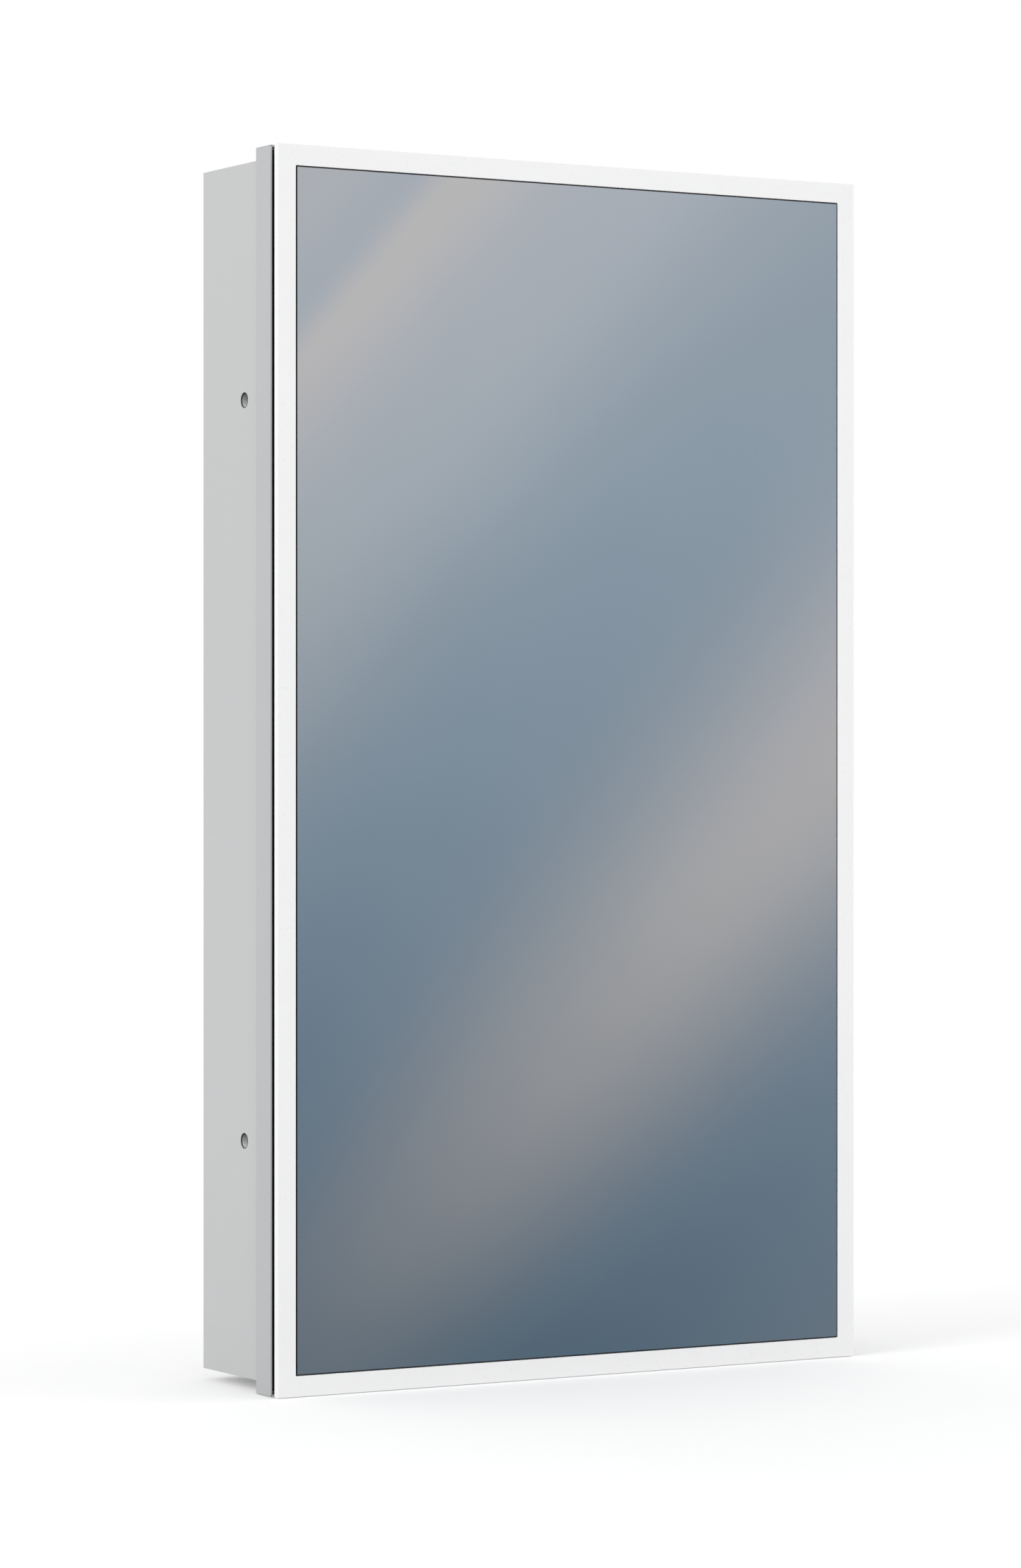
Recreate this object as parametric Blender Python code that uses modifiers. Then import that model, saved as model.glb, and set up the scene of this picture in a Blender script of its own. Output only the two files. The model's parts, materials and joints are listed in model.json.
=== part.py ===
"""Recessed medicine cabinet with a full-overlay mirror door.

Frame: +Z up, the front faces -Y. The origin is the centre of the back panel's rear face.
The carcass goes into a wall recess, the trim frame bears on the wall surface, and one mirror
door hangs on a continuous hinge along the right-hand edge. Metres throughout; mm() converts.
"""

from math import cos, pi, sin

import bmesh
import bpy
from mathutils import Matrix, Vector


def mm(value):
    return value * 0.001


# ---------------------------------------------------------------- driving dimensions (mm)
WIDTH, HEIGHT, DEPTH = 500.0, 900.0, 132.0        # over the door, the frame and the carcass
DOOR_PLATE = 5.0                                   # border ring, front to rear
DOOR_GAP = 5.8                                     # shadow gap between door plate and frame
FRAME_DEPTH = 22.7                                 # trim frame, front lip to wall face
FRAME_FACE = 19.5                                  # width of the frame profile
FRAME_WALL = 1.5
BORDER = 15.0                                      # visible white border around the mirror
INSET = 7.5                                        # carcass steps in from the frame, all round
BOARD = 12.0                                       # carcass board thickness
BACK = 2.0                                         # back panel thickness
GAP = 0.3                                          # between pieces that touch
MIRROR_LINE = 0.5                                  # joint line between mirror and border
MIRROR = 3.0                                       # front mirror glass
REAR_MIRROR = 3.0
SHELF = 6.0
SHELF_Z = (-224.0, 0.0, 224.0)                     # three glass shelves
HOLE_PITCH = 32.0
PEG_Y = (-84.0, -24.0)
FIX_R, FIX_Y, FIX_Z = 5.0, -66.0, 270.0            # four side fixing holes, 10 mm across
AXIS_X, AXIS_Y = 248.4, -124.0                     # door hinge axis
KNUCKLE_R, BORE_R, PIN_R = 1.6, 0.9, 0.8
HINGE_LENGTH, KNUCKLES = 868.0, 21
LEAF = 0.8
CATCH_Z = (-330.0, 330.0)
RIVET_Z = (-400.0, -135.0, 135.0, 400.0)
FRAME_SCREW_Z = 150.0                              # on the side lengths; one more at x = 0, top and bottom

FRONT = -DEPTH                                     # y of the door's front face
PLATE_REAR = FRONT + DOOR_PLATE                    # -127
LIP = PLATE_REAR + DOOR_GAP                        # -121.2, frame front
WALL_FACE = LIP + FRAME_DEPTH                      # -98.5, frame rear, on the wall
HALF_W, HALF_H = WIDTH / 2, HEIGHT / 2
BODY_X, BODY_Z = HALF_W - INSET, HALF_H - INSET    # carcass half sizes
IN_X, IN_Z = BODY_X - BOARD, BODY_Z - BOARD        # inside half sizes
BODY_FRONT = WALL_FACE
TRAY_REAR = -124.5                                 # rear face of the door's backing tray
SEAT = WALL_FACE - GAP                             # frame rear where it lies over the boards
BOARD_MID_X, BOARD_MID_Z = BODY_X - BOARD / 2, BODY_Z - BOARD / 2
WEB = LIP + 9.0                                    # floor of the frame's front groove

# ---------------------------------------------------------------- scene and helpers
for old in list(bpy.data.objects):
    bpy.data.objects.remove(old, do_unlink=True)

PARTS = bpy.data.collections.new("medicine_cabinet")
CUTTERS = bpy.data.collections.new("cutters")
bpy.context.scene.collection.children.link(PARTS)
bpy.context.scene.collection.children.link(CUTTERS)


def material(name, colour, roughness, metallic=0.0):
    made = bpy.data.materials.new(name)
    made.use_nodes = True
    shader = made.node_tree.nodes["Principled BSDF"]
    shader.inputs["Base Color"].default_value = (*colour, 1.0)
    shader.inputs["Roughness"].default_value = roughness
    shader.inputs["Metallic"].default_value = metallic
    return made


BOARD_M = material("carcass_lacquer", (0.58, 0.58, 0.58), 0.45)
BACK_M = material("back_sheet", (0.62, 0.62, 0.62), 0.4, 0.6)
FRAME_M = material("frame_aluminium", (0.58, 0.58, 0.58), 0.38, 0.5)
BORDER_M = material("opal_border", (0.88, 0.88, 0.88), 0.35)
MIRROR_M = material("mirror_glass", (0.35, 0.42, 0.48), 0.05, 1.0)
GLASS_M = material("shelf_glass", (0.70, 0.80, 0.78), 0.05)
TRAY_M = material("door_tray", (0.55, 0.55, 0.55), 0.4, 0.8)
FOAM_M = material("bonding_foam", (0.10, 0.10, 0.11), 0.9)
RUBBER_M = material("black_rubber", (0.02, 0.02, 0.02), 0.7)
STEEL_M = material("hinge_steel", (0.60, 0.60, 0.61), 0.3, 1.0)
PLASTIC_M = material("light_grey_plastic", (0.60, 0.60, 0.60), 0.5)
MAGNET_M = material("magnet", (0.12, 0.12, 0.13), 0.45, 0.6)
KEY_M = material("corner_key_zinc", (0.45, 0.45, 0.46), 0.5, 0.8)


def take(obj, name, mat, collection=PARTS):
    """Names an object, gives it its material and moves it to its collection."""
    obj.name = name
    obj.data.name = name
    obj.data.materials.clear()
    if mat is not None:
        obj.data.materials.append(mat)
    for other in list(obj.users_collection):
        other.objects.unlink(obj)
    collection.objects.link(obj)
    return obj


def box(name, x, y, z, mat, collection=PARTS, bevel=0.0, segments=1):
    """A cuboid from its lowest to its highest coordinates in mm, with an optional edge radius."""
    size = [abs(b - a) for a, b in (x, y, z)]
    centre = [(a + b) / 2 for a, b in (x, y, z)]
    bpy.ops.mesh.primitive_cube_add(size=1.0, location=[mm(c) for c in centre])
    obj = bpy.context.object
    obj.scale = [mm(s) for s in size]
    bpy.ops.object.transform_apply(location=False, rotation=False, scale=True)
    take(obj, name, mat, collection)
    if bevel:
        rounding = obj.modifiers.new("rounding", "BEVEL")
        rounding.width = mm(bevel)
        rounding.segments = segments
        rounding.limit_method = "ANGLE"
    return obj


TURN = {
    "+X": Matrix.Rotation(1.5707963267948966, 4, "Y"),
    "-X": Matrix.Rotation(-1.5707963267948966, 4, "Y"),
    "+Y": Matrix.Rotation(-1.5707963267948966, 4, "X"),
    "-Y": Matrix.Rotation(1.5707963267948966, 4, "X"),
    "+Z": Matrix.Identity(4),
}


def turned(name, profile, at, axis, mat, sides=20, collection=PARTS):
    """A turned solid. profile is (radius, height) in mm, from the axis at the top, down the outer side, to the axis below; height runs along axis from at."""
    mesh = bpy.data.meshes.new(name)
    points = [(mm(r), 0.0, mm(h)) for r, h in profile]
    mesh.from_pydata(points, [(i, i + 1) for i in range(len(points) - 1)], [])
    obj = bpy.data.objects.new(name, mesh)
    collection.objects.link(obj)
    obj.matrix_world = Matrix.Translation([mm(c) for c in at]) @ TURN[axis]
    screw = obj.modifiers.new("turn", "SCREW")
    screw.axis = "Z"
    screw.steps = screw.render_steps = sides
    screw.use_merge_vertices = True
    screw.merge_threshold = 0.00001
    screw.use_smooth_shade = False
    return take(obj, name, mat, collection)


def rod(name, at, axis, radius, length, mat, sides=16, collection=PARTS):
    return turned(
        name,
        [(0.0, length), (radius, length), (radius, 0.0), (0.0, 0.0)],
        at, axis, mat, sides, collection,
    )


def tube(name, at, axis, outer, inner, length, mat, sides=16, collection=PARTS):
    """A turned sleeve, open right through."""
    obj = turned(
        name, [(outer, 0.0), (outer, length), (inner, length), (inner, 0.0)],
        at, axis, mat, sides, collection,
    )
    edit = bmesh.new()
    edit.from_mesh(obj.data)
    edit.verts.ensure_lookup_table()
    edit.edges.new((edit.verts[3], edit.verts[0]))
    edit.to_mesh(obj.data)
    edit.free()
    return obj


def cutter(obj):
    obj.hide_render = True
    obj.display_type = "WIRE"
    return obj


def boolean(obj, other, operation="DIFFERENCE"):
    step = obj.modifiers.new(operation.lower(), "BOOLEAN")
    step.operation = operation
    step.solver = "EXACT"
    step.object = other
    return step


def as_mesh(obj):
    """A curve or a modified object as a plain welded mesh object of the same name and place."""
    bpy.context.view_layer.update()
    graph = bpy.context.evaluated_depsgraph_get()
    mesh = bpy.data.meshes.new_from_object(obj.evaluated_get(graph), depsgraph=graph)
    edit = bmesh.new()
    edit.from_mesh(mesh)
    bmesh.ops.remove_doubles(edit, verts=edit.verts, dist=0.000001)
    bmesh.ops.recalc_face_normals(edit, faces=edit.faces)
    edit.to_mesh(mesh)
    edit.free()
    made = bpy.data.objects.new(obj.name + "_mesh", mesh)
    made.matrix_world = obj.matrix_world.copy()
    name, homes = obj.name, list(obj.users_collection)
    bpy.data.objects.remove(obj, do_unlink=True)
    for home in homes:
        home.objects.link(made)
    made.name = name
    return made


def outline(name, loops, thickness, mat, matrix, collection=PARTS):
    """A flat outline, with holes for the inner loops, extruded to both sides of its plane."""
    curve = bpy.data.curves.new(name, "CURVE")
    curve.dimensions = "2D"
    curve.fill_mode = "BOTH"
    curve.extrude = mm(thickness / 2)
    for loop in loops:
        line = curve.splines.new("POLY")
        line.points.add(len(loop) - 1)
        for point, (a, b) in zip(line.points, loop):
            point.co = (mm(a), mm(b), 0.0, 1.0)
        line.use_cyclic_u = True
    obj = bpy.data.objects.new(name, curve)
    collection.objects.link(obj)
    obj.matrix_world = matrix
    return take(as_mesh(obj), name, mat, collection)


def facing_front(y):
    """Places an outline drawn in x and z at the depth y: its plane faces -Y."""
    return Matrix.Translation((0.0, mm(y), 0.0)) @ Matrix.Rotation(1.5707963267948966, 4, "X")


def facing_side(x):
    """Places an outline drawn in y and z at x: its plane faces +X."""
    return Matrix((
        (0.0, 0.0, 1.0, mm(x)),
        (1.0, 0.0, 0.0, 0.0),
        (0.0, 1.0, 0.0, 0.0),
        (0.0, 0.0, 0.0, 1.0),
    ))


def rectangle(half_x, half_z):
    return [(-half_x, -half_z), (half_x, -half_z), (half_x, half_z), (-half_x, half_z)]


def ring(name, outer, inner, y, mat, collection=PARTS):
    """A rectangular ring between two half sizes, from y[0] to y[1]."""
    return outline(
        name, [rectangle(*outer), rectangle(*inner)], abs(y[1] - y[0]), mat,
        facing_front((y[0] + y[1]) / 2), collection,
    )


def joined(name, objects, collection=CUTTERS):
    """Several separate solids held in one helper mesh, for one Boolean step."""
    edit = bmesh.new()
    bpy.context.view_layer.update()
    graph = bpy.context.evaluated_depsgraph_get()
    for obj in objects:
        mesh = bpy.data.meshes.new_from_object(obj.evaluated_get(graph), depsgraph=graph)
        mesh.transform(obj.matrix_world)
        edit.from_mesh(mesh)
        bpy.data.meshes.remove(mesh)
    for obj in objects:
        bpy.data.objects.remove(obj, do_unlink=True)
    bmesh.ops.recalc_face_normals(edit, faces=edit.faces)
    mesh = bpy.data.meshes.new(name)
    edit.to_mesh(mesh)
    edit.free()
    made = bpy.data.objects.new(name, mesh)
    collection.objects.link(made)
    return cutter(made)


# ---------------------------------------------------------------- carcass boards
def pilot_hole(x, z):
    """A cutter for a frame screw's hole in a board's front edge."""
    return rod("pilot", (x, BODY_FRONT - 2.0, z), "+Y", 1.8, 2.0 + 29.0, None, 12, CUTTERS)


def side_panel(name, sign):
    """A side board with two through holes for the wall screws, rows of shelf peg holes, the frame screw holes and, on the left, the two catch screw holes."""
    outer, inner = sign * BODY_X, sign * IN_X
    panel = box(
        name, sorted((outer, inner)), (BODY_FRONT, 0.0), (-BODY_Z, BODY_Z), BOARD_M
    )
    towards = "-X" if sign > 0 else "+X"
    cuts = [
        rod(
            "fix", (sign * (BODY_X + 3), FIX_Y, z), towards, FIX_R, BOARD + 6, None,
            24, CUTTERS,
        )
        for z in (-FIX_Z, FIX_Z)
    ]
    outwards = "+X" if sign > 0 else "-X"
    for shelf in SHELF_Z:
        for step in (-1, 0, 1):
            for y in PEG_Y:
                z = shelf + step * HOLE_PITCH - SHELF / 2 - 3.0
                cuts.append(
                    rod(
                        "peg_hole", (sign * (IN_X - 2), y, z), outwards, 2.6, 2 + 7.5,
                        None, 12, CUTTERS,
                    )
                )
    for z in (-FRAME_SCREW_Z, FRAME_SCREW_Z):
        cuts.append(pilot_hole(sign * BOARD_MID_X, z))
    if sign < 0:
        for z in CATCH_Z:
            cuts.append(
                rod(
                    "catch_hole", (sign * (IN_X - 2), -88.0, z), outwards, 1.8, 2 + 9.0,
                    None, 12, CUTTERS,
                )
            )
    boolean(panel, joined(name + "_holes", cuts))
    return panel


side_panel("side_panel_left", -1)
side_panel("side_panel_right", 1)
for panel_name, sign in (("top_panel", 1), ("bottom_panel", -1)):
    panel = box(
        panel_name, (-IN_X + GAP, IN_X - GAP), (BODY_FRONT, 0.0),
        sorted((sign * IN_Z, sign * BODY_Z)), BOARD_M,
    )
    hole = pilot_hole(0.0, sign * BOARD_MID_Z)
    hole.name = panel_name + "_hole"
    boolean(panel, cutter(hole))
box(
    "back_panel", (-IN_X + GAP, IN_X - GAP), (-BACK, 0.0), (-IN_Z + GAP, IN_Z - GAP), BACK_M
)


# ---------------------------------------------------------------- trim frame, four mitred lengths
def frame_member(name, side):
    """One length of the hollow frame profile: a front groove for the seal, a closed chamber behind it, and mitred ends.
    Its outer strip stands 0.3 mm further back than the rest and bears on the wall.
    The profile is drawn with u running in from the outer edge, then each end is sheared by u to make the mitre."""
    w, f, web = FRAME_WALL, FRAME_FACE, WEB
    section = [
        [
            (0, LIP), (0, WALL_FACE), (INSET - GAP, WALL_FACE), (INSET - GAP, SEAT), (f, SEAT),
            (f, LIP), (f - w, LIP), (f - w, web), (w, web), (w, LIP),
        ],
        [
            (w, web + w), (f - w, web + w), (f - w, SEAT - w), (w, SEAT - w),
        ],
    ]
    length = HEIGHT if side in ("left", "right") else WIDTH
    bar = outline(name, section, length, FRAME_M, Matrix.Identity(4))
    mitre = mm(GAP / 2 * 1.41421356)
    for vertex in bar.data.vertices:
        u, y, s = vertex.co
        end = (mm(length / 2) - u - mitre) * (1 if s > 0 else -1)
        vertex.co = {
            "left": Vector((-mm(HALF_W) + u, y, end)),
            "right": Vector((mm(HALF_W) - u, y, end)),
            "top": Vector((end, y, mm(HALF_H) - u)),
            "bottom": Vector((end, y, -mm(HALF_H) + u)),
        }[side]
    edit = bmesh.new()
    edit.from_mesh(bar.data)
    bmesh.ops.recalc_face_normals(edit, faces=edit.faces)
    edit.to_mesh(bar.data)
    edit.free()
    return bar


def frame_screw_cuts(x, z):
    """A driver access hole through the groove floor and a screw hole through the rear wall."""
    return [
        rod("access", (x, WEB - 1.5, z), "+Y", 4.0, 4.5, None, 16, CUTTERS),
        rod("screw_hole", (x, SEAT - 3.0, z), "+Y", 1.9, 5.0, None, 12, CUTTERS),
    ]


def screw(name, at, axis, length):
    """A pan head screw: its shank runs along axis from the underside of the head."""
    turned(
        name,
        [
            (0.0, length), (0.7, length), (1.5, length - 2.5), (1.5, 0.0), (3.2, 0.0),
            (3.2, -1.4), (2.4, -2.2), (0.0, -2.4),
        ],
        at, axis, STEEL_M, 16,
    )


FRAME_SCREWS = {
    "left": [(-BOARD_MID_X, -FRAME_SCREW_Z), (-BOARD_MID_X, FRAME_SCREW_Z)],
    "right": [(BOARD_MID_X, -FRAME_SCREW_Z), (BOARD_MID_X, FRAME_SCREW_Z)],
    "top": [(0.0, BOARD_MID_Z)],
    "bottom": [(0.0, -BOARD_MID_Z)],
}
count = 0
for which, places in FRAME_SCREWS.items():
    member = frame_member("frame_" + which, which)
    cuts = []
    for x, z in places:
        count += 1
        cuts += frame_screw_cuts(x, z)
        screw(f"frame_screw_{count}", (x, SEAT - FRAME_WALL - 0.15, z), "+Y", 28.0)
    if which == "right":                           # blind holes for the hinge rivets
        cuts += [
            rod("rivet_hole", (HALF_W - FRAME_WALL - 0.4, -117.6, z), "+X", 1.35, 1.5, None, 12, CUTTERS)
            for z in RIVET_Z
        ]
    boolean(member, joined(f"frame_{which}_holes", cuts))

# Corner keys: cleats in the closed chamber that hold the mitred lengths together.
for level, sz in (("lower", -1), ("upper", 1)):
    for label, sx in (("left", -1), ("right", 1)):
        legs = [
            (HALF_W - 1.8, HALF_H - 1.8), (HALF_W - 45.0, HALF_H - 1.8),
            (HALF_W - 45.0, HALF_H - 17.7), (HALF_W - 17.7, HALF_H - 17.7),
            (HALF_W - 17.7, HALF_H - 45.0), (HALF_W - 1.8, HALF_H - 45.0),
        ]
        outline(
            f"corner_key_{level}_{label}", [[(sx * x, sz * z) for x, z in legs]],
            SEAT - WEB - 2 * FRAME_WALL - 2 * GAP, KEY_M, facing_front((WEB + SEAT) / 2),
        )

# ---------------------------------------------------------------- black door seal in the frame groove
seal = ring(
    "door_seal", (HALF_W - 3.2, HALF_H - 3.2), (HALF_W - 17.3, HALF_H - 17.3),
    (-115.5, WEB - GAP), RUBBER_M,
)
ridge = ring(
    "seal_ridge", (HALF_W - 12.0, HALF_H - 12.0), (HALF_W - 17.0, HALF_H - 17.0),
    (TRAY_REAR + GAP, -114.0), None, CUTTERS,
)
boolean(seal, cutter(ridge), "UNION")

# ---------------------------------------------------------------- door: border, mirror, foam, tray, inner mirror
border = ring(
    "door_border", (HALF_W, HALF_H), (HALF_W - BORDER, HALF_H - BORDER),
    (FRONT, PLATE_REAR), BORDER_M,
)
ledge = ring(
    "border_ledge", (HALF_W - BORDER + 2.0, HALF_H - BORDER + 2.0),
    (HALF_W - BORDER - 13.0, HALF_H - BORDER - 13.0),
    (FRONT + MIRROR + GAP, PLATE_REAR), None, CUTTERS,
)
boolean(border, cutter(ledge), "UNION")

mirror_x, mirror_z = HALF_W - BORDER - MIRROR_LINE, HALF_H - BORDER - MIRROR_LINE
box(
    "mirror_front", (-mirror_x, mirror_x), (FRONT, FRONT + MIRROR), (-mirror_z, mirror_z),
    MIRROR_M,
)
foam_x, foam_z = HALF_W - BORDER - 14.0, HALF_H - BORDER - 14.0
box(
    "foam_sheet", (-foam_x, foam_x), (FRONT + MIRROR + GAP, PLATE_REAR), (-foam_z, foam_z),
    FOAM_M,
)
tray = box(
    "door_tray", (-243.5, 243.5), (PLATE_REAR + GAP, TRAY_REAR), (-443.5, 443.5), TRAY_M
)
LEAF_FRONT = TRAY_REAR + GAP
RIVET_X = 242.0
boolean(
    tray,
    joined(
        "tray_rivet_holes",
        [rod("h", (RIVET_X, -127.0, z), "+Y", 1.35, 4.0, None, 12, CUTTERS) for z in RIVET_Z],
    ),
)
box(
    "mirror_inner", (-205.0, 205.0), (TRAY_REAR + GAP, TRAY_REAR + GAP + REAR_MIRROR),
    (-415.0, 415.0), MIRROR_M, bevel=0.6,
)


# ---------------------------------------------------------------- continuous hinge along the right edge
PITCH = HINGE_LENGTH / KNUCKLES
Z0 = -HINGE_LENGTH / 2


def knuckle_spans(parity):
    return [
        (Z0 + i * PITCH + 0.25, Z0 + (i + 1) * PITCH - 0.25)
        for i in range(KNUCKLES)
        if i % 2 == parity
    ]


def toothed_plate(near, tooth, far, spans, rivets_at):
    """Outline of a leaf: a plain strip from far to near, with a tooth out to each knuckle and the rivet holes. Coordinates are (across, z)."""
    low, high = Z0 + 0.25, Z0 + HINGE_LENGTH - 0.25
    edge = [(far, high), (far, low), (near, low)]
    for a, b in spans:
        a, b = a + 0.6, b - 0.6
        edge += [(near, a), (tooth, a), (tooth, b), (near, b)]
    edge.append((near, high))
    turn = [2 * pi * i / 12 for i in range(12)]
    holes = [
        [(rivets_at + 1.35 * cos(a), z + 1.35 * sin(a)) for a in turn] for z in RIVET_Z
    ]
    return [edge, *holes]


def add_knuckles(leaf, spans):
    boolean(leaf, joined(
        leaf.name + "_knuckles",
        [
            tube("k", (AXIS_X, AXIS_Y, a), "+Z", KNUCKLE_R, BORE_R, b - a, None, 16, CUTTERS)
            for a, b in spans
        ],
    ), "UNION")


# Frame leaf: stands in the groove beside the outer wall, so its plane faces X.
frame_spans, door_spans = knuckle_spans(0), knuckle_spans(1)
leaf_x = HALF_W - FRAME_WALL - GAP - LEAF / 2
frame_leaf = outline(
    "hinge_leaf_frame",
    toothed_plate(AXIS_Y + 2.0, AXIS_Y + 1.15, -112.6, frame_spans, -117.6),
    LEAF, STEEL_M, facing_side(leaf_x),
)
add_knuckles(frame_leaf, frame_spans)

# Door leaf: lies flat on the rear of the door tray.
door_leaf = outline(
    "hinge_leaf_door",
    toothed_plate(AXIS_X - 2.0, AXIS_X - 1.15, 238.4, door_spans, RIVET_X),
    LEAF, STEEL_M, facing_front(LEAF_FRONT + LEAF / 2),
)
add_knuckles(door_leaf, door_spans)
rod("hinge_pin", (AXIS_X, AXIS_Y, Z0), "+Z", PIN_R, HINGE_LENGTH, STEEL_M, 16)


def rivet(name, at, axis, shank):
    """A low dome head with its shank running along axis from the underside of the head."""
    turned(
        name,
        [
            (0.0, shank), (1.15, shank), (1.15, 0.0), (1.8, 0.0), (1.8, -0.25), (1.35, -0.6),
            (0.0, -0.7),
        ],
        at, axis, STEEL_M, 16,
    )


for number, z in enumerate(RIVET_Z, 1):
    rivet(f"frame_rivet_{number}", (leaf_x - LEAF / 2 - 0.15, -117.6, z), "+X", 2.15)
    rivet(f"door_rivet_{number}", (RIVET_X, LEAF_FRONT + LEAF + 0.15, z), "-Y", 2.6)

# ---------------------------------------------------------------- magnetic catches on the left
for label, z in zip(("lower", "upper"), CATCH_Z):
    body = box(
        f"catch_body_{label}", (-IN_X + GAP, -IN_X + GAP + 14.0), (LIP, -80.0),
        (z - 16.0, z + 16.0), PLASTIC_M, bevel=1.2, segments=2,
    )
    screw_x = -IN_X + GAP + 14.0
    boolean(body, joined(f"catch_{label}_cuts", [
        box("pocket", (-226.7, -219.7), (LIP - 2, -107.0), (z - 12.3, z + 12.3), None, CUTTERS),
        rod("bore", (-IN_X - 3, -88.0, z), "+X", 1.8, 22.0, None, 16, CUTTERS),
    ]))
    boolean(body, cutter(
        rod(f"catch_{label}_sink", (screw_x - 3.0, -88.0, z), "+X", 3.6, 6.0, None, 20, CUTTERS)
    ))
    box(
        f"catch_magnet_{label}", (-226.4, -220.0), (-122.6, -107.3), (z - 12.0, z + 12.0),
        MAGNET_M, bevel=0.4,
    )
    box(
        f"strike_plate_{label}", (-229.0, -214.0), (TRAY_REAR + GAP, -123.0),
        (z - 20.0, z + 20.0), STEEL_M, bevel=0.4,
    )
    screw(f"catch_screw_{label}", (screw_x - 2.7, -88.0, z), "-X", 20.5)

# ---------------------------------------------------------------- glass shelves on side rails
for number, shelf in enumerate(SHELF_Z, 1):
    box(
        f"glass_shelf_{number}", (-228.5, 228.5), (-92.3, -4.0),
        (shelf - SHELF / 2, shelf + SHELF / 2), GLASS_M, bevel=0.8, segments=2,
    )
    for label, sign in (("left", -1), ("right", 1)):
        top = shelf - SHELF / 2 - GAP
        rail = outline(
            f"shelf_rail_{number}_{label}",
            [[
                (-95.0, top - 5.4), (-6.0, top - 5.4), (-6.0, top), (-92.6, top),
                (-92.6, shelf + 1.5), (-95.0, shelf + 1.5),
            ]],
            7.0, PLASTIC_M, facing_side(sign * (IN_X - GAP - 3.5)),
        )
        outwards = "+X" if sign > 0 else "-X"
        pegs = [
            rod(
                "peg", (sign * (IN_X - GAP - 3.0), y, shelf - SHELF / 2 - 3.0), outwards, 2.2,
                3.0 + 7.0, None, 12, CUTTERS,
            )
            for y in PEG_Y
        ]
        boolean(rail, joined(f"shelf_rail_{number}_{label}_pegs", pegs), "UNION")

# ---------------------------------------------------------------- caps in the four side fixing holes
for label, sign in (("left", -1), ("right", 1)):
    for level, z in (("lower", -FIX_Z), ("upper", FIX_Z)):
        turned(
            f"hole_cap_{label}_{level}",
            [
                (0.0, 4.0), (4.3, 4.0), (4.6, 3.4), (4.6, 0.0), (7.0, 0.0), (7.0, -0.7),
                (6.0, -1.5), (0.0, -1.5),
            ],
            (sign * (IN_X - GAP), FIX_Y, z), "+X" if sign > 0 else "-X", PLASTIC_M, 24,
        )

# ---------------------------------------------------------------- the door hangs from an empty on its hinge axis
pivot = bpy.data.objects.new("door_pivot", None)
pivot.empty_display_type = "SINGLE_ARROW"
pivot.location = (mm(AXIS_X), mm(AXIS_Y), 0.0)
PARTS.objects.link(pivot)
bpy.context.view_layer.update()
DOOR = [
    "door_border", "mirror_front", "foam_sheet", "door_tray", "mirror_inner",
    "hinge_leaf_door", "strike_plate_lower", "strike_plate_upper",
    "door_rivet_1", "door_rivet_2", "door_rivet_3", "door_rivet_4",
]
for piece in [bpy.data.objects[name] for name in DOOR]:
    used = [m.object for m in piece.modifiers if m.type == "BOOLEAN"]
    for obj in [piece, *used]:
        obj.parent = pivot
        obj.matrix_parent_inverse = pivot.matrix_world.inverted()
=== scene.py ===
"""Looks, light and camera for the mirror medicine cabinet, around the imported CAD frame."""
import json
import math

import bmesh
import bpy
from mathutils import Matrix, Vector

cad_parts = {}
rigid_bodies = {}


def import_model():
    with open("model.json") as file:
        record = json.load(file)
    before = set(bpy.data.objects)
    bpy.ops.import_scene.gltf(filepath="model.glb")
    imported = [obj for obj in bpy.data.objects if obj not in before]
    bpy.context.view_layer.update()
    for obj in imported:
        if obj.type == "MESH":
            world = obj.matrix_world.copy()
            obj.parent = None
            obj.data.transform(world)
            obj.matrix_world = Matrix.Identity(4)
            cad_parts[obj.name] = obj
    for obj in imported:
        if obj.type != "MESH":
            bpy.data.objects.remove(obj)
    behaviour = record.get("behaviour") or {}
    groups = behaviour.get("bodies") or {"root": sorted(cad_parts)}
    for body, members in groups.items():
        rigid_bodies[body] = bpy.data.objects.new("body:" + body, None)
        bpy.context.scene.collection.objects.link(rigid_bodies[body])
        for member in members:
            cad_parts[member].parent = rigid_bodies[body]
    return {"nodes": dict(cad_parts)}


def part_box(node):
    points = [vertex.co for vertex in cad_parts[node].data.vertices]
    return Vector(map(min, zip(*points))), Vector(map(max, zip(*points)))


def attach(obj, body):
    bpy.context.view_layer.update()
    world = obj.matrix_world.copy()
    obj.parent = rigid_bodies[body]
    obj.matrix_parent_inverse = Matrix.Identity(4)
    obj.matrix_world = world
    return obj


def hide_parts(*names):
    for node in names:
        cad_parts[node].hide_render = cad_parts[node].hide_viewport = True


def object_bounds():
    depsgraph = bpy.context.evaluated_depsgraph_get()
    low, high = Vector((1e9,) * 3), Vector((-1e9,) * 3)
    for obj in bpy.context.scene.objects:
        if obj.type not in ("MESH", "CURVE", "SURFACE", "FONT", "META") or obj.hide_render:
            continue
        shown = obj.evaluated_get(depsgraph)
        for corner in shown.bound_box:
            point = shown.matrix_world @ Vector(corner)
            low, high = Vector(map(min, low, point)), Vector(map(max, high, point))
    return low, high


for old in list(bpy.data.objects):
    bpy.data.objects.remove(old, do_unlink=True)

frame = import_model()
cad_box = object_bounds()
N = frame["nodes"]
scene = bpy.context.scene
scene.view_settings.view_transform = "Standard"
scene.view_settings.look = "None"
scene.view_settings.exposure = 0.0
scene.view_settings.gamma = 1.0

LO, HI = cad_box


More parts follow.
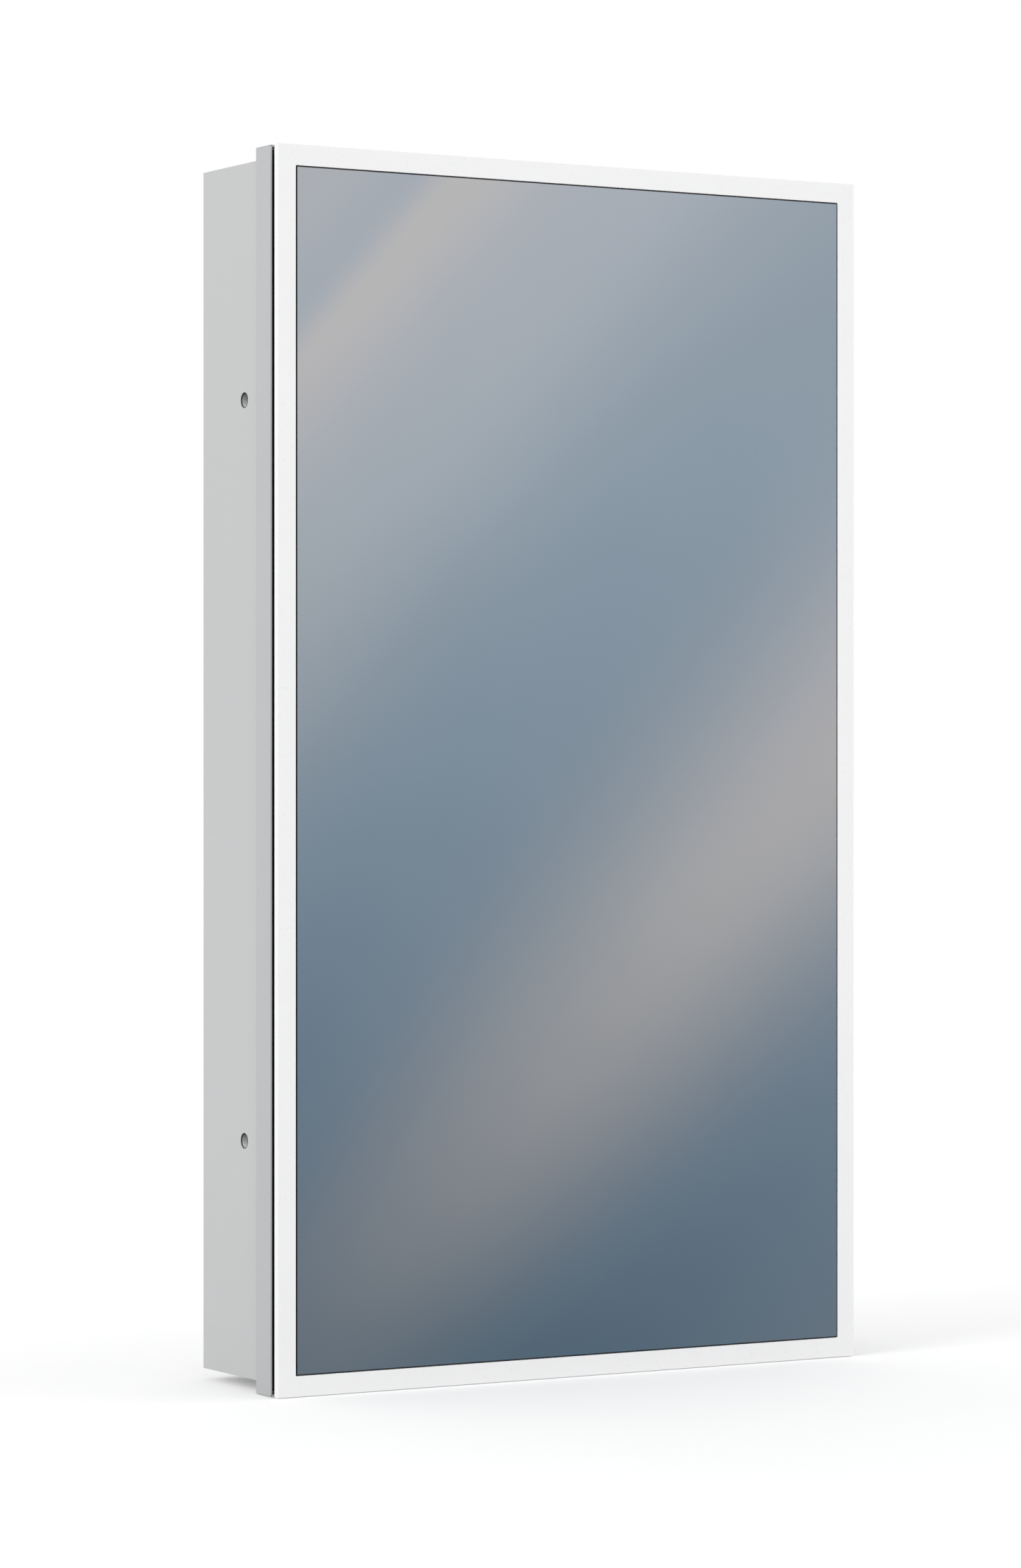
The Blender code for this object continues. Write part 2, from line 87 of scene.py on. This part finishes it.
# ------------------------------------------------------------------ node helpers
class Graph:
    """A short way to write a node tree."""

    def __init__(self, tree):
        self.tree = tree
        tree.nodes.clear()

    def node(self, kind, inputs=None, **settings):
        made = self.tree.nodes.new(kind)
        for key, value in settings.items():
            setattr(made, key, value)
        for key, value in (inputs or {}).items():
            self.put(made, key, value)
        return made

    def put(self, node, key, value):
        socket = node.inputs[key]
        if isinstance(value, bpy.types.NodeSocket):
            self.tree.links.new(value, socket)
        elif isinstance(value, (tuple, list)) and len(value) == 3 and socket.type == "RGBA":
            socket.default_value = (*value, 1.0)
        else:
            socket.default_value = value

    def math(self, operation, a, b=None, clamp=False):
        made = self.node("ShaderNodeMath", operation=operation, use_clamp=clamp)
        self.put(made, 0, a)
        if b is not None:
            self.put(made, 1, b)
        return made.outputs[0]

    def mix(self, factor, a, b, blend="MIX", loose=False):
        made = self.node("ShaderNodeMix", data_type="RGBA", blend_type=blend)
        made.clamp_factor = not loose
        self.put(made, 0, factor)
        self.put(made, 6, a)
        self.put(made, 7, b)
        return made.outputs[2]

    def ramp(self, value, stops, interpolation="LINEAR"):
        made = self.node("ShaderNodeValToRGB")
        made.color_ramp.interpolation = interpolation
        elements = made.color_ramp.elements
        while len(elements) > 1:
            elements.remove(elements[-1])
        for i, (at, colour) in enumerate(stops):
            element = elements[0] if i == 0 else elements.new(at)
            element.position = at
            element.color = (*colour, 1.0) if len(colour) == 3 else colour
        self.put(made, 0, value)
        return made.outputs[0]

    def noise(self, vector, scale, detail=2.0, roughness=0.5, kind="FBM"):
        made = self.node("ShaderNodeTexNoise", noise_dimensions="3D", noise_type=kind)
        self.put(made, "Vector", vector)
        self.put(made, "Scale", scale)
        self.put(made, "Detail", detail)
        self.put(made, "Roughness", roughness)
        return made.outputs["Fac"]

    def remap(self, value, low, high, to_low, to_high):
        made = self.node("ShaderNodeMapRange", clamp=True)
        for key, number in zip((0, 1, 2, 3, 4), (value, low, high, to_low, to_high)):
            self.put(made, key, number)
        return made.outputs[0]

    def place(self, scale=(1.0, 1.0, 1.0)):
        """Object coordinates in metres, stretched by scale."""
        where = self.node("ShaderNodeTexCoord").outputs["Object"]
        moved = self.node("ShaderNodeMapping")
        self.put(moved, "Vector", where)
        moved.inputs["Scale"].default_value = scale
        return moved.outputs[0]


def srgb(*values):
    """Colour values from 0 to 255, as they look on screen, as linear numbers."""
    made = []
    for value in values:
        v = value / 255.0
        made.append(v / 12.92 if v <= 0.04045 else ((v + 0.055) / 1.055) ** 2.4)
    return tuple(made)


def new_material(name, **sockets):
    made = bpy.data.materials.new(name)
    made.use_nodes = True
    graph = Graph(made.node_tree)
    shader = graph.node("ShaderNodeBsdfPrincipled")
    out = graph.node("ShaderNodeOutputMaterial")
    made.node_tree.links.new(shader.outputs[0], out.inputs[0])
    for key, value in sockets.items():
        graph.put(shader, key.replace("_", " "), value)
    return made, graph, shader


def bump(graph, shader, height, distance, strength=1.0):
    made = graph.node("ShaderNodeBump")
    graph.put(made, "Height", height)
    made.inputs["Distance"].default_value = distance
    made.inputs["Strength"].default_value = strength
    graph.put(shader, "Normal", made.outputs[0])
    return made


# ------------------------------------------------------------------ materials
def lacquer(name, colour, holes=None):
    """Sprayed satin lacquer: fine orange peel, a slow drift in tone, and a faint speckle.

    holes is (x, y, z, inner radius, outer radius): around those drillings, above and below the middle,
    the rim from the outer face in to x is bare and shows the board's darker core. Inside the bores the tone
    is painted darker on the upper wall and lighter on the lower wall: painted shade and painted light.
    """
    made, g, s = new_material(name, Roughness=0.42, Coat_Weight=0.12, Coat_Roughness=0.25)
    where = g.place()
    drift = g.remap(g.noise(where, 3.0, 3.0), 0.3, 0.7, 0.985, 1.012)
    speck = g.remap(g.noise(where, 1400.0, 1.0), 0.35, 0.65, 0.985, 1.01)
    tone = g.math("MULTIPLY", drift, speck)
    rough = g.remap(g.noise(where, 60.0, 2.0), 0.3, 0.7, 0.36, 0.48)
    if holes:
        x, y, z, inner, outer = holes
        parts = g.node("ShaderNodeSeparateXYZ")
        g.put(parts, 0, where)
        off_y = g.math("SUBTRACT", parts.outputs["Y"], y)
        off_z = g.math("SUBTRACT", g.math("ABSOLUTE", parts.outputs["Z"]), z)
        square = g.math("ADD", g.math("MULTIPLY", off_y, off_y), g.math("MULTIPLY", off_z, off_z))
        away = g.math("SQRT", square)
        grain = g.math("MULTIPLY", g.math("SUBTRACT", g.noise(where, 900.0, 2.0), 0.5), 0.0002)
        away = g.math("ADD", away, grain)
        inside = g.remap(away, outer, outer + 0.0001, 1.0, 0.0)
        chamfer = g.remap(away, inner, inner + 0.0001, 0.0, 1.0)
        mouth = g.remap(g.math("ABSOLUTE", parts.outputs["X"]), x, x + 0.0001, 0.0, 1.0)
        rim = g.math("MULTIPLY", inside, g.math("MAXIMUM", chamfer, mouth))
        # painted shade and painted light in each bore: the lacquer's tone is darkened towards the upper
        # wall and lightened towards the lower wall, as light from above would fall
        above = g.math("MULTIPLY", off_z, g.math("SIGN", parts.outputs["Z"]))
        painted_bore_shade = g.remap(g.math("ADD", above, grain), -0.0045, 0.0045, 0.7, -0.72)
        tone = g.math("MULTIPLY", tone, g.math("ADD", 1.0, g.math("MULTIPLY", inside, painted_bore_shade)))
        tone = g.math("MULTIPLY", tone, g.math("SUBTRACT", 1.0, g.math("MULTIPLY", rim, 0.9)))
        rough = g.math("ADD", rough, g.math("MULTIPLY", inside, 0.3))
    colour_node = g.node("ShaderNodeCombineColor", mode="RGB")
    for i, c in enumerate(colour):
        g.put(colour_node, i, g.math("MULTIPLY", tone, c))
    g.put(s, "Base Color", colour_node.outputs[0])
    g.put(s, "Roughness", rough)
    bump(g, s, g.noise(where, 520.0, 2.0, 0.45), 0.00006, 0.55)
    return made


def profile_metal(name, colour, along, metallic=0.25):
    """Satin profile with faint drawing lines along its length."""
    made, g, s = new_material(name, Metallic=metallic, Roughness=0.4)
    squeeze = {"z": (900.0, 900.0, 6.0), "x": (6.0, 900.0, 900.0)}[along]
    lines = g.noise(g.place(squeeze), 1.0, 3.0, 0.6)
    cloud = g.noise(g.place(), 9.0, 3.0)
    tone = g.math(
        "MULTIPLY", g.remap(lines, 0.3, 0.7, 0.975, 1.02), g.remap(cloud, 0.3, 0.7, 0.985, 1.012)
    )
    colour_node = g.node("ShaderNodeCombineColor", mode="RGB")
    for i, c in enumerate(colour):
        g.put(colour_node, i, g.math("MULTIPLY", tone, c))
    g.put(s, "Base Color", colour_node.outputs[0])
    g.put(s, "Roughness", g.remap(lines, 0.3, 0.7, 0.34, 0.46))
    bump(g, s, lines, 0.00003, 0.4)
    return made


M = {}
M["carcass"] = lacquer("carcass_lacquer_look", srgb(195, 195, 195))
M["side"] = lacquer("side_lacquer_look", srgb(195, 195, 195), (0.2416, -0.066, 0.270, 0.00503, 0.0057))
M["frame_z"] = profile_metal("frame_profile_upright", srgb(204, 204, 204), "z")
M["frame_x"] = profile_metal("frame_profile_level", srgb(204, 204, 204), "x")


def opal():
    """Opal white acrylic with a satin skin: dense, slightly waxy, finely matted."""
    made, g, s = new_material(
        "opal_border_look", Roughness=0.32, Subsurface_Weight=0.08, Subsurface_Scale=0.002,
        Coat_Weight=0.15, Coat_Roughness=0.2,
    )
    where = g.place()
    tone = g.remap(g.noise(where, 14.0, 3.0), 0.3, 0.7, 0.992, 1.004)
    base = srgb(244, 244, 244)
    colour_node = g.node("ShaderNodeCombineColor", mode="RGB")
    for i, c in enumerate(base):
        g.put(colour_node, i, g.math("MULTIPLY", tone, c))
    g.put(s, "Base Color", colour_node.outputs[0])
    g.put(s, "Roughness", g.remap(g.noise(where, 260.0, 2.0), 0.3, 0.7, 0.27, 0.38))
    bump(g, s, g.noise(where, 1800.0, 1.0), 0.00002, 0.4)
    return made


M["opal"] = opal()


def mirror(name, half_x, half_z, band):
    """Silvered glass: clean in the middle, faint haze, and a dark sealed band along its edges."""
    made, g, s = new_material(name, Metallic=1.0, Roughness=0.012)
    where = g.place()
    parts = g.node("ShaderNodeSeparateXYZ")
    g.put(parts, 0, where)
    near_x = g.math("GREATER_THAN", g.math("ABSOLUTE", parts.outputs["X"]), half_x - band)
    near_z = g.math("GREATER_THAN", g.math("ABSOLUTE", parts.outputs["Z"]), half_z - band)
    edge = g.math("MAXIMUM", near_x, near_z)
    haze = g.remap(g.noise(g.place((1.0, 1.0, 0.7)), 6.0, 4.0, 0.55), 0.35, 0.75, 0.0, 1.0)
    silver = g.mix(haze, srgb(251, 250, 250), srgb(247, 247, 248))
    g.put(s, "Base Color", g.mix(edge, silver, srgb(26, 27, 30)))
    g.put(s, "Metallic", g.math("SUBTRACT", 1.0, edge))
    wipe = g.remap(g.noise(g.place((22.0, 1.0, 3.0)), 1.6, 5.0, 0.6), 0.4, 0.8, 0.006, 0.03)
    g.put(s, "Roughness", g.math("ADD", wipe, g.math("MULTIPLY", edge, 0.35)))
    return made


half = (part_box("mirror_front")[1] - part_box("mirror_front")[0]) / 2
M["mirror_front"] = mirror("mirror_front_look", half.x, half.z, 0.0006)
half = (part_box("mirror_inner")[1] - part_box("mirror_inner")[0]) / 2
M["mirror_inner"] = mirror("mirror_inner_look", half.x, half.z, 0.0010)


def glass():
    """Clear float glass with a faint green tint that deepens along its polished front edge."""
    made, g, s = new_material(
        "shelf_glass_look", Roughness=0.02, IOR=1.52, Transmission_Weight=1.0,
    )
    where = g.place()
    parts = g.node("ShaderNodeSeparateXYZ")
    g.put(parts, 0, where)
    front = g.math("LESS_THAN", parts.outputs["Y"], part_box("glass_shelf_1")[0].y + 0.0016)
    g.put(s, "Base Color", g.mix(front, srgb(240, 250, 247), srgb(150, 200, 186)))
    g.put(s, "Roughness", g.remap(g.noise(where, 45.0, 3.0), 0.35, 0.8, 0.01, 0.05))
    return made


M["glass"] = glass()


def sheet_metal(name, colour, metallic, rough, scale=(1.0, 1.0, 1.0)):
    made, g, s = new_material(name, Metallic=metallic, Roughness=rough)
    lines = g.noise(g.place(scale), 1.0, 3.0, 0.6)
    cloud = g.noise(g.place(), 12.0, 3.0)
    tone = g.math(
        "MULTIPLY", g.remap(lines, 0.3, 0.7, 0.96, 1.03), g.remap(cloud, 0.3, 0.7, 0.97, 1.02)
    )
    colour_node = g.node("ShaderNodeCombineColor", mode="RGB")
    for i, c in enumerate(colour):
        g.put(colour_node, i, g.math("MULTIPLY", tone, c))
    g.put(s, "Base Color", colour_node.outputs[0])
    g.put(s, "Roughness", g.remap(cloud, 0.3, 0.7, rough * 0.85, rough * 1.15))
    bump(g, s, lines, 0.00003, 0.35)
    return made


M["tray"] = sheet_metal("door_tray_look", srgb(186, 187, 189), 0.75, 0.36, (500.0, 500.0, 4.0))
M["steel"] = sheet_metal("hinge_steel_look", srgb(208, 208, 210), 0.8, 0.34, (700.0, 700.0, 8.0))
M["zinc"] = sheet_metal("zinc_look", srgb(150, 152, 156), 0.9, 0.42, (90.0, 90.0, 90.0))


def powder(name, colour):
    """Powder-coated sheet: even tone with a fine pebbled skin."""
    made, g, s = new_material(name, Roughness=0.5)
    where = g.place()
    tone = g.remap(g.noise(where, 5.0, 3.0), 0.3, 0.7, 0.985, 1.01)
    colour_node = g.node("ShaderNodeCombineColor", mode="RGB")
    for i, c in enumerate(colour):
        g.put(colour_node, i, g.math("MULTIPLY", tone, c))
    g.put(s, "Base Color", colour_node.outputs[0])
    g.put(s, "Roughness", g.remap(g.noise(where, 90.0, 2.0), 0.3, 0.7, 0.44, 0.56))
    bump(g, s, g.noise(where, 900.0, 2.0, 0.5), 0.00009, 0.6)
    return made


M["back"] = powder("back_sheet_look", srgb(204, 204, 205))


def moulded(name, colour, rough=0.45, grain=1500.0):
    made, g, s = new_material(name, Roughness=rough)
    where = g.place()
    tone = g.remap(g.noise(where, 40.0, 2.0), 0.3, 0.7, 0.97, 1.02)
    colour_node = g.node("ShaderNodeCombineColor", mode="RGB")
    for i, c in enumerate(colour):
        g.put(colour_node, i, g.math("MULTIPLY", tone, c))
    g.put(s, "Base Color", colour_node.outputs[0])
    g.put(s, "Roughness", g.remap(g.noise(where, 180.0, 2.0), 0.3, 0.7, rough * 0.85, rough * 1.2))
    bump(g, s, g.noise(where, grain, 2.0), 0.00004, 0.5)
    return made


M["plastic"] = moulded("light_grey_plastic_look", srgb(206, 206, 206))
M["rubber"] = moulded("black_rubber_look", srgb(33, 33, 34), 0.52, 1400.0)
M["foam"] = moulded("bonding_foam_look", srgb(38, 38, 40), 0.9, 500.0)
M["magnet"] = moulded("magnet_look", srgb(56, 56, 60), 0.5, 700.0)

RULES = (
    (("side_panel",), "side"),
    (("top_panel", "bottom_panel"), "carcass"),
    (("back_panel",), "back"),
    (("frame_left", "frame_right"), "frame_z"),
    (("frame_top", "frame_bottom"), "frame_x"),
    (("frame_screw", "frame_rivet", "door_rivet", "catch_screw", "strike", "hinge"), "steel"),
    (("corner_key",), "zinc"),
    (("door_border",), "opal"),
    (("mirror_front",), "mirror_front"),
    (("mirror_inner",), "mirror_inner"),
    (("foam_sheet",), "foam"),
    (("door_tray",), "tray"),
    (("door_seal",), "rubber"),
    (("glass_shelf",), "glass"),
    (("catch_magnet",), "magnet"),
    (("catch_body", "shelf_rail", "hole_cap"), "plastic"),
)
for name, node in N.items():
    key = next(k for starts, k in RULES if name.startswith(starts))
    node.data.materials.clear()
    node.data.materials.append(M[key])

# ------------------------------------------------------------------ edges that catch the light
BEVELS = {
    "side_panel": 0.0006, "top_panel": 0.0006, "bottom_panel": 0.0006, "back_panel": 0.0003,
    "frame_left": 0.0003, "frame_right": 0.0003, "frame_top": 0.0003, "frame_bottom": 0.0003,
    "door_border": 0.0004, "mirror_front": 0.0003,
}
for name, node in N.items():
    for start, width in BEVELS.items():
        if name.startswith(start):
            weld = node.modifiers.new("weld", "WELD")
            weld.merge_threshold = 0.00002
            soft = node.modifiers.new("soft_edges", "BEVEL")
            soft.width = width
            soft.segments = 2
            soft.limit_method = "ANGLE"
            soft.angle_limit = math.radians(50)
            soft.harden_normals = False

# ------------------------------------------------------------------ the door seal's real section
def mitred_ring(name, section):
    """A closed section carried round the opening. Each point is (in from the outer edge, y), in mm."""
    corners = ((-1, -1), (1, -1), (1, 1), (-1, 1))
    verts, faces = [], []
    for sx, sz in corners:
        for u, y in section:
            verts.append((sx * (HI.x - u * 0.001), y * 0.001, sz * (HI.z - u * 0.001)))
    n = len(section)
    for c in range(4):
        for i in range(n):
            j, d = (i + 1) % n, (c + 1) % 4
            faces.append((c * n + i, c * n + j, d * n + j, d * n + i))
    mesh = bpy.data.meshes.new(name)
    mesh.from_pydata(verts, [], faces)
    tidy = bmesh.new()
    tidy.from_mesh(mesh)
    bmesh.ops.recalc_face_normals(tidy, faces=tidy.faces)
    tidy.to_mesh(mesh)
    tidy.free()
    for face in mesh.polygons:
        face.use_smooth = True
    mesh.set_sharp_from_angle(angle=math.radians(32))
    made = bpy.data.objects.new(name, mesh)
    scene.collection.objects.link(made)
    return made


def seal_section():
    """Foot in the frame's groove, two grip grooves and a rib, a waisted neck, and the round bulb."""
    lo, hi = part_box("door_seal")
    rear, tip, edge = hi.y * 1000, lo.y * 1000, (HI.x - hi.x) * 1000      # -112.5, -124.2, 3.2
    bulb_u, bulb_r, neck = 14.5, 2.5, 1.25
    bulb_y = tip + bulb_r
    face = rear - 3.0                                                     # the foot's front, -115.5
    points = [(edge, rear), (17.3, rear), (17.3, face + 0.8), (17.15, face + 0.35), (16.8, face + 0.08)]
    points += [(16.4, face), (16.0, face - 0.12), (15.8, face - 0.4), (bulb_u + neck, face - 0.9)]
    start = math.asin(neck / bulb_r)
    turns = 22
    for i in range(turns + 1):
        a = start + (2 * math.pi - 2 * start) * i / turns                 # from the neck round the tip
        points.append((bulb_u + bulb_r * math.sin(a), bulb_y + bulb_r * math.cos(a)))
    points += [(bulb_u - neck, face - 0.9), (13.2, face - 0.4), (13.0, face - 0.12), (12.6, face)]
    for middle in (10.9, 9.1):
        points += [(middle + 0.35, face), (middle + 0.1, face + 0.45), (middle - 0.1, face + 0.45), (middle - 0.35, face)]
    for angle in range(0, 181, 20):                                       # a low rounded rib
        a = math.radians(angle)
        points.append((6.6 + 0.9 * math.cos(a), face - 0.8 * math.sin(a)))
    points += [(edge + 0.5, face), (edge + 0.15, face + 0.15), (edge, face + 0.5)]
    return points


seal = mitred_ring("door_seal_bulb", seal_section())
seal.data.materials.append(M["rubber"])
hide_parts("door_seal")
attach(seal, "cabinet")

# ------------------------------------------------------------------ floor
floor_mesh = bpy.data.meshes.new("floor")
reach = 60.0
floor_mesh.from_pydata(
    [(-reach, -reach, 0), (reach, -reach, 0), (reach, reach, 0), (-reach, reach, 0)], [],
    [(0, 1, 2, 3)],
)
floor = bpy.data.objects.new("floor", floor_mesh)
scene.collection.objects.link(floor)
floor.location.z = LO.z - 0.0005
floor.visible_glossy = False
fm, g, s = new_material("floor_look", Roughness=0.9, Emission_Color=(1.0, 1.0, 1.0), Emission_Strength=0.12)
g.put(s, "Base Color", g.mix(g.remap(g.noise(g.place(), 2.0, 2.0), 0.3, 0.7, 0.0, 1.0), srgb(250, 250, 250), srgb(252, 252, 252)))
floor.data.materials.append(fm)

# ------------------------------------------------------------------ world
world = bpy.data.worlds.new("studio")
scene.world = world
world.use_nodes = True
w = Graph(world.node_tree)
direction = w.node("ShaderNodeTexCoord").outputs["Generated"]
xyz = w.node("ShaderNodeSeparateXYZ")
w.put(xyz, 0, direction)
X, Y, Z = xyz.outputs
azimuth = w.math("ARCTAN2", X, w.math("MULTIPLY", Y, -1.0))      # 0 in front of the door, + to the right
elevation = w.math("ARCSINE", Z)
# across runs to the right and down runs downward, in widths of the mirror as the main camera sees it
across = w.math("DIVIDE", w.math("SUBTRACT", azimuth, math.radians(28.07)), math.radians(6.18))
down = w.math("DIVIDE", w.math("SUBTRACT", math.radians(6.83), elevation), math.radians(7.456))
level = w.math("DIVIDE", w.math("ADD", down, 2.0), 10.0, clamp=True)


def by_height(stops):
    """A colour for each height in the studio, from far up (-2) to far down (8)."""
    return w.ramp(level, [((at + 2.0) / 10.0, srgb(*colour)) for at, colour in stops])


blue = by_height([
    (-2.0, (170, 178, 186)), (0.0, (146, 158, 168)), (0.45, (137, 153, 166)),
    (0.9, (124, 141, 155)), (1.3, (105, 124, 140)), (1.6, (85, 108, 126)),
    (1.857, (66, 92, 110)), (3.4, (104, 120, 134)), (8.0, (150, 159, 168)),
])
warm = by_height([
    (-2.0, (204, 202, 199)), (0.0, (185, 184, 183)), (0.6, (178, 177, 180)),
    (1.1, (159, 161, 164)), (1.5, (132, 137, 143)), (1.857, (95, 108, 119)),
    (3.4, (140, 144, 149)), (8.0, (170, 171, 173)),
])
cool = by_height([
    (-2.0, (182, 188, 195)), (0.0, (163, 171, 180)), (0.5, (156, 166, 175)),
    (1.0, (140, 149, 157)), (1.857, (130, 136, 143)), (8.0, (160, 166, 172)),
])
PERIOD = 3.2                                       # the streaks repeat round the studio
slant = w.node("ShaderNodeMath", operation="WRAP")
w.put(slant, 0, w.math("ADD", down, w.math("MULTIPLY", across, 0.966)))
w.put(slant, 1, PERIOD)
w.put(slant, 2, 0.0)
slant = slant.outputs[0]


def glow(centre, before, after, strength):
    """A soft band across the slant: a bell with its own width on either side of its centre."""
    away = w.math("SUBTRACT", slant, centre)
    late = w.math("GREATER_THAN", away, 0.0)
    width = w.math("ADD", before, w.math("MULTIPLY", late, after - before))
    ratio = w.math("DIVIDE", away, width)
    bell = w.math("EXPONENT", w.math("MULTIPLY", w.math("MULTIPLY", ratio, ratio), -1.0))
    return w.math("MULTIPLY", bell, strength)


veil = w.math("ADD", glow(0.616, 1.01, 0.291, 1.223), glow(0.616 + PERIOD, 1.01, 0.291, 1.223))
band = glow(1.899, 0.314, 0.292, 1.103)
for centre, before, after, strength in ((0.288, 0.056, 0.166, 0.902), (0.03, 0.2, 0.108, 0.40)):
    for turn in (0.0, PERIOD):
        band = w.math("MAXIMUM", band, glow(centre + turn, before, after, strength))
reflection = w.mix(band, w.mix(veil, blue, cool, loose=True), warm, loose=True)
studio = w.node("ShaderNodeBackground")
w.put(studio, "Color", reflection)
studio.inputs["Strength"].default_value = 1.05
backdrop = w.node("ShaderNodeBackground")
backdrop.inputs["Color"].default_value = (1.0, 1.0, 1.0, 1.0)
backdrop.inputs["Strength"].default_value = 1.0
fill = w.node("ShaderNodeBackground")
fill.inputs["Color"].default_value = (1.0, 1.0, 1.0, 1.0)
fill.inputs["Strength"].default_value = 0.84
rays = w.node("ShaderNodeLightPath")
first = w.node("ShaderNodeMixShader")
w.put(first, 0, rays.outputs["Is Glossy Ray"])
w.put(first, 1, fill.outputs[0])
w.put(first, 2, studio.outputs[0])
second = w.node("ShaderNodeMixShader")
w.put(second, 0, rays.outputs["Is Camera Ray"])
w.put(second, 1, first.outputs[0])
w.put(second, 2, backdrop.outputs[0])
out = w.node("ShaderNodeOutputWorld")
world.node_tree.links.new(second.outputs[0], out.inputs[0])


# ------------------------------------------------------------------ lights
def far_light(name, towards, power, spread):
    """An even light from far away: the same on the top and the bottom of a tall object."""
    data = bpy.data.lights.new(name, "SUN")
    data.energy = power
    data.angle = math.radians(spread)
    light = bpy.data.objects.new(name, data)
    scene.collection.objects.link(light)
    light.rotation_euler = Vector(towards).to_track_quat("-Z", "Y").to_euler()
    light.visible_glossy = False
    return light


far_light("key", (0.87, 0.20, -0.45), 0.75, 28.0)
far_light("rim", (-0.62, 0.30, -0.72), 0.22, 40.0)

# ------------------------------------------------------------------ camera
camera_data = bpy.data.cameras.new("camera")
camera = bpy.data.objects.new("camera", camera_data)
scene.collection.objects.link(camera)
camera.location = (-1.8883, -3.2428, 0.0058)
camera.rotation_euler = (math.radians(90.0), 0.0, math.radians(-30.496))
camera_data.sensor_fit = "AUTO"
camera_data.sensor_width = 36.0
camera_data.lens = 112.5
camera_data.shift_x = 0.0
camera_data.shift_y = -0.01365
camera_data.clip_start = 0.05
camera_data.clip_end = 200.0
camera_data.dof.use_dof = False
scene.camera = camera
